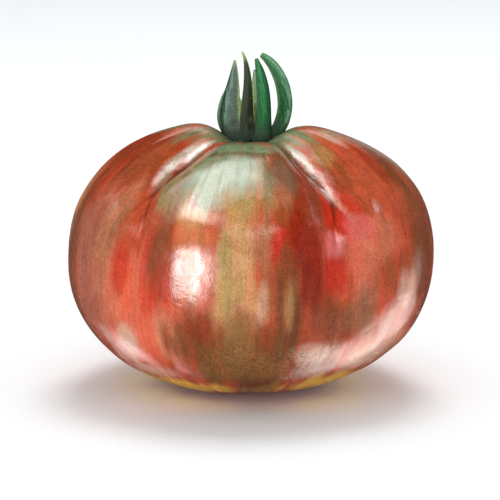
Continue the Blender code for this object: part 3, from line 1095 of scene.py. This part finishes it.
@dataclass(frozen=True)
class LeafFinish:
    """A sepal's finish: painted shade on one side, a painted highlight streak, pale margins, a paler inner
    face.

    Attributes:
        tone: The greens.
        lit_at: Where the painted highlight streak runs, from 0 at one edge to 1 at the other.
        shaded_at: Where the painted shade lies.
        foot: The colour of the foot.
        inner: The colour of the inner face.
        inner_vein: The colour of the inner face's veins.
        streak: The outer face's streaks.
        vein: The inner face's veins.
        down: The fine down on the outer face.
        downy: How the down shifts the colour.
    """

    tone: Tone
    lit_at: float = 0.3
    shaded_at: float = 1.0
    foot: Colour = paint(60, 72, 62)
    inner: Colour = paint(216, 236, 204)
    inner_vein: Colour = paint(164, 200, 150)
    streak: Grain = Grain(5, 4, 0.62, 0.5)
    vein: Grain = Grain(6, 3, 0.6, 0.2)
    down: Grain = Grain(2600, 3, 0.7)
    downy: Mottle = Mottle(0.36, (0.38, 0.38, 0.38), 0.64, (0.62, 0.62, 0.62))

    @staticmethod
    def lay(graph: Graph, across: Socket, along: Socket, wide: float, long: float) -> Socket:
        """Lays the leaf's own two directions out for a noise to be read on.

        Args:
            graph: The material's nodes.
            across: Place across the leaf.
            along: Place along it.
            wide: Size of the lay-out across the leaf.
            long: Its size along the leaf.

        Returns:
            The vector to read the noise on.
        """
        made = graph.node("ShaderNodeCombineXYZ")
        graph.feed(made.inputs[0], graph.math("MULTIPLY", across, wide))
        graph.feed(made.inputs[1], graph.math("MULTIPLY", along, long))
        return made.outputs[0]

    def dress(self) -> bpy.types.Material:
        """Builds the outer face's material.

        Returns:
            The material.
        """
        body, shade, light, margin = self.tone.value
        graph = Graph("sepal_outside")
        across, along = graph.uv()
        streaks = graph.noise(self.lay(graph, across, along, 3.0, 1.8), self.streak)
        down = graph.noise(graph.place(), self.down)
        wander = graph.span(streaks, 0.3, 0.7, -0.14, 0.14)
        place = graph.math("ADD", across, wander)

        # A painted highlight streak along the blade, and painted shade down one side of it.
        lit = graph.span(graph.gap(place, self.lit_at), 0.16, 0.0)
        lit = graph.math("MULTIPLY", lit, graph.span(along, 0.05, 0.35, 0.2, 0.9))
        shaded = graph.span(graph.gap(place, self.shaded_at), 0.34, 0.06)
        colour = graph.blend(graph.span(streaks, 0.42, 0.30, 0.0, 0.6), body, shade)
        colour = graph.blend(graph.math("MULTIPLY", shaded, 0.85), colour, shade)
        colour = graph.blend(graph.math("MULTIPLY", lit, 0.8), colour, light)
        foot = graph.math("ADD", along, wander)
        colour = graph.blend(graph.span(foot, 0.30, 0.12, 0.0, 0.85), colour, self.foot)

        edge = graph.math("ADD", graph.gap(across, 0.5), graph.span(down, 0.3, 0.7, -0.03, 0.03))
        edge = graph.math("MULTIPLY", graph.span(edge, 0.39, 0.46), graph.span(along, 0.15, 0.4, 0.1, 0.9))
        colour = graph.blend(edge, colour, margin)
        tip = graph.math("ADD", along, graph.math("MULTIPLY", wander, 0.3))
        colour = graph.blend(graph.span(tip, 0.84, 1.0, 0.0, 0.8), colour, margin)
        graph.cover(graph.mottle(colour, down, self.downy))
        graph.gloss(0.55, 0.16)
        graph.bump(graph.math("ADD", streaks, graph.math("MULTIPLY", down, 0.3)), 0.35, 0.3 * MM)
        return graph.material

    def dress_inside(self) -> bpy.types.Material:
        """Builds the inner face's material.

        Returns:
            The material.
        """
        graph = Graph("sepal_inside")
        across, along = graph.uv()
        veins = graph.noise(self.lay(graph, across, along, 4.0, 1.0), self.vein)
        colour = graph.blend(graph.span(veins, 0.35, 0.65), self.inner, self.inner_vein)
        colour = graph.blend(graph.span(along, 0.25, 0.0, 0.0, 0.6), colour, self.foot)
        graph.cover(colour)
        graph.gloss(0.6, 0.4)
        graph.bump(veins, 0.3, 0.2 * MM)
        return graph.material


@dataclass(frozen=True)
class FibreFinish:
    """Green tissue with fibres that run up the plant, and a dry end where it has one.

    Attributes:
        name: The material's name.
        dark: The colour between the fibres.
        light: The fibres' colour.
        fibre: The fibres' size and character.
        roughness: How matt the surface is.
        dry: The colour of the dry end.
        dry_heights: Where the dry end starts and where it is dry all through.
    """

    name: str
    dark: Colour
    light: Colour
    fibre: Grain
    roughness: float
    dry: Colour = paint(84, 104, 60)
    dry_heights: tuple[float, float] | None = None

    def dress(self) -> bpy.types.Material:
        """Builds the material.

        Returns:
            The material.
        """
        graph = Graph(self.name)
        place = graph.place()
        fibres = graph.noise(place, self.fibre)
        colour = graph.blend(graph.span(fibres, 0.35, 0.65), self.dark, self.light)
        if self.dry_heights:
            height = graph.parts(place)["Z"]
            colour = graph.blend(graph.span(height, *self.dry_heights), colour, self.dry)
        graph.cover(colour)
        graph.gloss(self.roughness, 0.4)
        graph.bump(fibres, 0.4, 0.3 * MM)
        return graph.material


@dataclass
class Sepal:
    """One calyx leaf: a channelled blade along a curved midline, thick at the rib and thin at its edges.

    Attributes:
        node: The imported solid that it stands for.
        midline: The midline's foot, its two handles and its tip, in millimetres from the plant's axis.
        facing: Azimuth that its outer face looks towards.
        foot: Width of the foot.
        belly: Width at its widest.
        finish: Its finish.
        belly_place: Where it is widest, as a share of its length.
        taper: How long it stays wide before it narrows to the tip.
        tip: Width of the tip.
        channel: How deep it is hollowed, as a share of its width.
        thickness: Thickness at the rib.
        edge_thinning: Share of the thickness that is lost at the edges.
        tip_thinning: Share of the thickness that is lost at the tip.
        least_thickness: Share of the thickness that is left where it is thinnest.
        flutter: How far the blade waves in and out.
        rib_height: How far the rib stands out.
        rib_width: The rib's breadth, as a share of half the width.
        across: Faces across the blade.
        along: Faces along it.
        curve_points: Points along the midline.
    """

    node: str
    midline: tuple[tuple[float, float, float], ...]
    facing: float
    foot: float
    belly: float
    finish: LeafFinish
    belly_place: float = 0.30
    taper: float = 1.8
    tip: float = 0.6 * MM
    channel: float = 0.22
    thickness: float = 0.95 * MM
    edge_thinning: float = 0.55
    tip_thinning: float = 0.35
    least_thickness: float = 0.2
    flutter: float = 0.12 * MM
    rib_height: float = 0.10 * MM
    rib_width: float = 0.22
    across: int = 12
    along: int = 60
    curve_points: int = 241

    def width(self, along: float) -> float:
        """The blade's width.

        Args:
            along: Share of the length, from the foot.

        Returns:
            The width there.
        """
        if along < self.belly_place:
            return self.foot + (self.belly - self.foot) * ease(along / self.belly_place)
        share = (along - self.belly_place) / (1 - self.belly_place)
        return self.belly + (self.tip - self.belly) * share**self.taper

    def point(self, curve: Sequence[Vector], along: float, across: float) -> Vector:
        """A point of the blade's middle sheet.

        Args:
            curve: The midline's points.
            along: Share of the length, from the foot.
            across: From -1 at one edge to 1 at the other.

        Returns:
            The point.
        """
        place = min(int(along * (len(curve) - 1)), len(curve) - 2)
        share = along * (len(curve) - 1) - place
        centre = curve[place].lerp(curve[place + 1], share)
        up = (curve[place + 1] - curve[place]).normalized()
        outward = heading(self.facing)
        outward = (outward - up * outward.dot(up)).normalized()
        side = up.cross(outward)
        width = self.width(along)
        wave = self.flutter * noise.noise(Vector((along * 5, across * 1.5, self.facing)))
        rib = self.rib_height * math.exp(-((across / self.rib_width) ** 2)) * (1 - along)
        inward = self.channel * width * across**2 - wave - rib
        return centre + side * (width / 2 * across) - outward * inward

    def build(self) -> bpy.types.Object:
        """Builds and dresses the blade.

        Returns:
            The blade's object.
        """
        curve = geometry.interpolate_bezier(*(Vector(p) * MM for p in self.midline), self.curve_points)
        bpy.ops.object.select_all(action="DESELECT")
        bpy.ops.mesh.primitive_grid_add(x_subdivisions=self.across, y_subdivisions=self.along, size=1)
        obj = bpy.context.object
        thick = obj.vertex_groups.new(name="thickness")
        for vertex in obj.data.vertices:
            along = min(max(vertex.co.y + 0.5, 0.0), 1.0)
            across = min(max(2 * vertex.co.x, -1.0), 1.0)
            share = (1 - self.edge_thinning * across**2) * (1 - self.tip_thinning * along)
            thick.add([vertex.index], share, "REPLACE")
            vertex.co = self.point(curve, along, across)
        solid = obj.modifiers.new("thickness", "SOLIDIFY")
        solid.thickness = self.thickness
        solid.offset = 0
        solid.vertex_group = thick.name
        solid.thickness_vertex_group = self.least_thickness
        solid.material_offset = 1
        rounded = obj.modifiers.new("rounded", "SUBSURF")
        rounded.levels = rounded.render_levels = 1
        obj.data.materials.append(self.finish.dress())
        obj.data.materials.append(self.finish.dress_inside())
        apply_all(obj)
        seat(obj, f"{self.node}_leaf", self.node)
        return obj


@dataclass
class Calyx:
    """The green crown: seven sepals on a small cup, with the stalk's stub inside them.

    Attributes:
        cup_profile: The cup's radii and heights in millimetres, down its outer side.
        cup_steps: Steps round the cup.
        cup_swell: How far the cup's wall swells in and out, as a share of its radius.
        cup_reach: The radius from which the wall swells in full.
        cup_finish: The cup's finish.
        stalk_profile: The stalk's radii and heights in millimetres, down its outer side.
        stalk_steps: Steps round the stalk.
        stalk_ridges: Number of ridges.
        stalk_ridge: How far the ridges stand out, as a share of the radius.
        stalk_twist: How far the ridges turn with height, in radians per metre.
        stalk_finish: The stalk's finish.
        sepals: The sepals.
    """

    cup_profile: tuple[tuple[float, float], ...] = (
        (0.0, 63.5),
        (2.8, 63.6),
        (3.4, 64.3),
        (3.9, 64.6),
        (4.3, 64.3),
        (4.4, 63.6),
        (4.2, 62.9),
        (3.2, 62.4),
        (0.0, 61.5),
    )
    cup_steps: int = 40
    cup_swell: float = 0.05
    cup_reach: float = 4 * MM
    cup_finish: FibreFinish = FibreFinish(
        "calyx_cup_green", paint(38, 48, 40), paint(84, 100, 82), Grain(900, 3, 0.6, squash=0.25), 0.6
    )
    stalk_profile: tuple[tuple[float, float], ...] = (
        (0.0, 71.6),
        (1.5, 71.9),
        (2.1, 71.3),
        (2.3, 70.2),
        (1.9, 68.8),
        (1.8, 66.6),
        (2.0, 65.0),
        (2.3, 64.0),
        (0.0, 63.9),
    )
    stalk_steps: int = 24
    stalk_ridges: int = 5
    stalk_ridge: float = 0.06
    stalk_twist: float = 0.8 / MM
    stalk_finish: FibreFinish = FibreFinish(
        "stalk_green",
        paint(86, 110, 62),
        paint(128, 146, 86),
        Grain(1400, 3, 0.6, squash=0.15),
        0.65,
        dry_heights=(71.0 * MM, 71.7 * MM),
    )
    sepals: tuple[Sepal, ...] = (
        Sepal(
            node="sepal_front_left",
            midline=((-4.7, -4.1, 62.6), (-8.0, -7.8, 68.7), (-4.5, -6.2, 76.5), (-4.2, -4.4, 82.6)),
            facing=-40.0,
            foot=6.8 * MM,
            belly=6.7 * MM,
            finish=LeafFinish(Tone.SLATE, lit_at=0.48, shaded_at=0.18),
            taper=1.4,
            tip=0.3 * MM,
        ),
        Sepal(
            node="sepal_front",
            midline=((-0.8, -5.6, 62.8), (-2.2, -10.5, 69.7), (0.4, -7.9, 78.1), (-2.4, -5.0, 84.6)),
            facing=-6.0,
            foot=5.2 * MM,
            belly=3.5 * MM,
            finish=LeafFinish(Tone.BOTTLE, lit_at=0.14, shaded_at=0.75),
            taper=1.15,
            tip=0.25 * MM,
        ),
        Sepal(
            node="sepal_front_right",
            midline=((2.9, -5.0, 62.0), (3.7, -8.4, 69.3), (3.6, -6.7, 77.1), (1.0, -4.4, 82.9)),
            facing=30.0,
            foot=5.6 * MM,
            belly=3.8 * MM,
            finish=LeafFinish(Tone.LEAF, lit_at=0.35, shaded_at=0.95),
            belly_place=0.35,
            taper=2.6,
        ),
        Sepal(
            node="sepal_right",
            midline=((5.0, -2.4, 62.5), (11.8, -4.6, 67.6), (9.2, -2.5, 80.6), (2.2, -1.1, 83.5)),
            facing=52.0,
            foot=5.2 * MM,
            belly=5.8 * MM,
            finish=LeafFinish(Tone.FERN, lit_at=0.52, shaded_at=0.05),
            taper=2.2,
            tip=1.2 * MM,
        ),
        Sepal(
            node="sepal_back_right",
            midline=((2.4, 4.8, 62.8), (3.7, 8.8, 67.5), (1.9, 8.4, 73.0), (0.7, 4.6, 79.0)),
            facing=157.0,
            foot=5.4 * MM,
            belly=5.0 * MM,
            finish=LeafFinish(Tone.LEAF, lit_at=0.4),
        ),
        Sepal(
            node="sepal_back_left",
            midline=((-2.5, 4.7, 62.8), (-5.2, 8.8, 67.5), (-5.4, 7.6, 72.0), (-4.8, 4.6, 76.6)),
            facing=-152.0,
            foot=5.4 * MM,
            belly=5.0 * MM,
            finish=LeafFinish(Tone.FERN, lit_at=0.5),
        ),
        Sepal(
            node="sepal_left",
            midline=((-6.0, 0.4, 63.0), (-9.9, 1.4, 66.2), (-8.2, 1.6, 72.0), (-4.9, 1.0, 76.8)),
            facing=-100.0,
            foot=5.4 * MM,
            belly=4.8 * MM,
            finish=LeafFinish(Tone.FERN, lit_at=0.74, shaded_at=0.1),
        ),
    )

    def turned(self, profile: Sequence[tuple[float, float]], steps: int) -> bpy.types.Object:
        """Turns a profile round the axis, then smooths and closes it.

        Args:
            profile: Radius and height of each point in millimetres, outer side from top to bottom.
            steps: Steps round the axis.

        Returns:
            The turned object.
        """
        mesh = bpy.data.meshes.new("turned")
        edges = [(i, i + 1) for i in range(len(profile) - 1)]
        mesh.from_pydata([(r * MM, 0, z * MM) for r, z in profile], edges, [])
        obj = bpy.data.objects.new("turned", mesh)
        bpy.context.scene.collection.objects.link(obj)
        screw = obj.modifiers.new("turn", "SCREW")
        screw.steps = screw.render_steps = steps
        screw.use_merge_vertices = True
        screw.merge_threshold = SEAM_REACH
        rounded = obj.modifiers.new("rounded", "SUBSURF")
        rounded.levels = rounded.render_levels = 2
        apply_all(obj)
        face_out(obj)
        return obj

    def build_cup(self) -> bpy.types.Object:
        """Builds the cup under the sepals.

        Returns:
            The cup's object.
        """
        obj = self.turned(self.cup_profile, self.cup_steps)
        for vertex in obj.data.vertices:
            turned = math.atan2(vertex.co.y, vertex.co.x)
            share = min(1.0, vertex.co.xy.length / self.cup_reach)
            wave = noise.noise(Vector((math.cos(turned) * 3, math.sin(turned) * 3, 2.0)))
            vertex.co.xy *= 1 + self.cup_swell * share * wave
        obj.data.materials.append(self.cup_finish.dress())
        seat(obj, "calyx_base", "calyx_cup")
        return obj

    def build_stalk(self) -> bpy.types.Object:
        """Builds the ridged stub of the stalk with its dry end.

        Returns:
            The stub's object.
        """
        obj = self.turned(self.stalk_profile, self.stalk_steps)
        for vertex in obj.data.vertices:
            turned = math.atan2(vertex.co.y, vertex.co.x)
            wave = math.cos(self.stalk_ridges * turned + self.stalk_twist * vertex.co.z)
            vertex.co.xy *= 1 + self.stalk_ridge * wave
        obj.data.materials.append(self.stalk_finish.dress())
        seat(obj, "stalk_end", "stalk_stub")
        return obj

    def build(self) -> list[bpy.types.Object]:
        """Builds the cup, the stalk and every sepal.

        Returns:
            Their objects.
        """
        pieces = [self.build_cup(), self.build_stalk()]
        pieces.extend(sepal.build() for sepal in self.sepals)
        return pieces


class LightUse(Enum):
    """What a softbox is for."""

    FILL = "lights surfaces and isn't mirrored"
    MIRROR = "shows only as a reflection"


@dataclass(frozen=True)
class Softbox:
    """A soft rectangular light.

    Attributes:
        name: What it does.
        azimuth: Direction it stands in from the fruit's middle, in degrees from the front towards +X.
        elevation: Its angle above the level of the fruit's middle.
        distance: How far it stands from the fruit's middle.
        width: Its width.
        height: Its height.
        glow: Its radiance.
        use: What it is for.
        colour: Its colour.
        level: Whether it hangs level instead of facing the fruit.
    """

    name: str
    azimuth: float
    elevation: float
    distance: float
    width: float
    height: float
    glow: float
    use: LightUse
    colour: Colour = (1.0, 1.0, 1.0)
    level: bool = False

    def place(self, target: Vector) -> bpy.types.Object:
        """Adds the light.

        Args:
            target: The fruit's middle.

        Returns:
            The light's object.
        """
        data = bpy.data.lights.new(self.name, "AREA")
        data.shape = "RECTANGLE"
        data.size = self.width
        data.size_y = self.height
        data.energy = self.glow * math.pi * self.width * self.height
        data.color = self.colour
        obj = bpy.data.objects.new(self.name, data)
        away = heading(self.azimuth, self.elevation)
        obj.location = target + away * self.distance
        if not self.level:
            obj.rotation_euler = away.to_track_quat("Z", "Y").to_euler()
        obj.visible_camera = False
        obj.visible_diffuse = self.use is LightUse.FILL
        obj.visible_glossy = self.use is LightUse.MIRROR
        bpy.context.scene.collection.objects.link(obj)
        return obj


@dataclass(frozen=True)
class FloorFinish:
    """The pale matt floor with a faint tooth."""

    low: Colour = paint(246, 250, 252)
    high: Colour = paint(250, 253, 254)
    tooth: Grain = Grain(900, 3, 0.6)

    def dress(self) -> bpy.types.Material:
        """Builds the floor's material.

        Returns:
            The material.
        """
        graph = Graph("pale_floor_matt")
        tooth = graph.noise(graph.place(), self.tooth)
        graph.cover(graph.blend(graph.span(tooth, 0.3, 0.7), self.low, self.high))
        graph.gloss(0.9, 0.1)
        return graph.material


@dataclass
class Studio:
    """The camera, the pale floor and the soft lights.

    Attributes:
        elevation: How far the camera looks down, in degrees.
        distance: How far the camera stands from the point that it aims at.
        lens: Its focal length in millimetres.
        sensor: Width of its sensor in millimetres.
        aim_height: Height of the point that it aims at.
        aim_pixel: Where that point falls in the picture, in pixels from its top left.
        frame_pixels: Width and height of the picture in pixels.
        floor_size: Width and depth of the floor.
        floor_finish: Its finish.
        room_fill: How brightly the room lights the scene.
        room_mirrored: How brightly the room is mirrored.
        softboxes: The lights.
    """

    elevation: float = 11.5
    distance: float = 560 * MM
    lens: float = 160.0
    sensor: float = 36.0
    aim_height: float = 33.0 * MM
    aim_pixel: tuple[float, float] = (252.0, 254.0)
    frame_pixels: float = 500.0
    floor_size: float = 8.0
    floor_finish: FloorFinish = FloorFinish()
    room_fill: float = 0.71
    room_mirrored: float = 0.07
    softboxes: tuple[Softbox, ...] = (
        Softbox("key_box", 168, 71, 1.6, 0.62, 0.62, 8.4, LightUse.FILL),
        Softbox("front_fill", -12, 4, 1.4, 0.9, 0.3, 8.0, LightUse.FILL),
        Softbox("crest_glow", -148, 67.5, 0.54, 0.76, 0.64, 5.0, LightUse.MIRROR, (0.93, 1.0, 0.96), True),
        Softbox("left_crest_glow", -72, 50, 0.54, 0.20, 0.14, 7.0, LightUse.MIRROR, (0.95, 1.0, 0.96)),
        Softbox("left_flank_glow", 62, 56, 0.54, 0.30, 0.16, 11.0, LightUse.MIRROR),
        Softbox("left_groove_glow", 14, 51, 0.54, 0.34, 0.22, 11.0, LightUse.MIRROR),
        Softbox("right_groove_glow", -44, 46, 0.54, 0.18, 0.18, 10.0, LightUse.MIRROR),
        Softbox("window_glow", -42.5, 3, 0.40, 0.16, 0.20, 15.0, LightUse.MIRROR, (1.0, 0.95, 0.93)),
        Softbox("low_right_glow", 110, -48, 0.50, 0.33, 0.46, 4.2, LightUse.MIRROR, (1.0, 0.90, 0.86)),
        Softbox("low_left_glow", -124, -50, 0.50, 0.17, 0.28, 3.4, LightUse.MIRROR, (1.0, 0.94, 0.94)),
        Softbox("right_rim_glow", 112, -18, 0.50, 0.14, 0.18, 3.0, LightUse.MIRROR, (1.0, 0.92, 0.88)),
        Softbox("rim_glow", 162, 20, 0.60, 0.14, 0.30, 0.7, LightUse.MIRROR, (0.92, 1.0, 0.92)),
    )

    def build(self) -> None:
        """Builds the whole set."""
        aim = Vector((PLANT_AXIS.x, PLANT_AXIS.y, self.aim_height))
        self.build_camera(aim)
        self.build_floor()
        self.build_room()
        for softbox in self.softboxes:
            softbox.place(aim)

    def build_camera(self, aim: Vector) -> None:
        """Adds the camera at the picture's viewing angle.

        Args:
            aim: The point that it aims at.
        """
        data = bpy.data.cameras.new("camera")
        data.lens = self.lens
        data.sensor_width = self.sensor
        middle = self.frame_pixels / 2
        data.shift_x = (middle - self.aim_pixel[0]) / self.frame_pixels
        data.shift_y = (self.aim_pixel[1] - middle) / self.frame_pixels
        camera = bpy.data.objects.new("camera", data)
        away = heading(0.0, self.elevation)
        camera.location = aim + away * self.distance
        camera.rotation_mode = "QUATERNION"
        camera.rotation_quaternion = (-away).to_track_quat("-Z", "Y")
        bpy.context.scene.collection.objects.link(camera)
        bpy.context.scene.camera = camera

    def build_floor(self) -> None:
        """Adds the pale floor, which isn't mirrored in the fruit."""
        bpy.ops.object.select_all(action="DESELECT")
        bpy.ops.mesh.primitive_plane_add(size=self.floor_size)
        floor = bpy.context.object
        floor.name = floor.data.name = "pale_floor"
        floor.data.materials.append(self.floor_finish.dress())
        floor.visible_glossy = False

    def build_room(self) -> None:
        """Adds the even light that fills the room, dimmer where it is only mirrored."""
        room = bpy.data.worlds.new("room")
        bpy.context.scene.world = room
        room.use_nodes = True
        tree = room.node_tree
        background = tree.nodes["Background"]
        background.inputs["Color"].default_value = (1.0, 1.0, 1.0, 1.0)
        path = tree.nodes.new("ShaderNodeLightPath")
        strength = tree.nodes.new("ShaderNodeMapRange")
        strength.inputs["To Min"].default_value = self.room_fill
        strength.inputs["To Max"].default_value = self.room_mirrored
        tree.links.new(path.outputs["Is Glossy Ray"], strength.inputs["Value"])
        tree.links.new(strength.outputs[0], background.inputs["Strength"])


def main() -> None:
    """Builds the tomato, its calyx and the studio, and reports each piece."""
    logging.basicConfig(level=logging.INFO, format="%(name)s: %(message)s")
    bpy.context.scene.view_settings.view_transform = "Standard"
    pieces = [RibbedFruit().build(), *Calyx().build()]
    for piece in pieces:
        LOG.info("%s: %d faces", piece.name, len(piece.data.polygons))
    Studio().build()


if __name__ == "__main__":
    main()
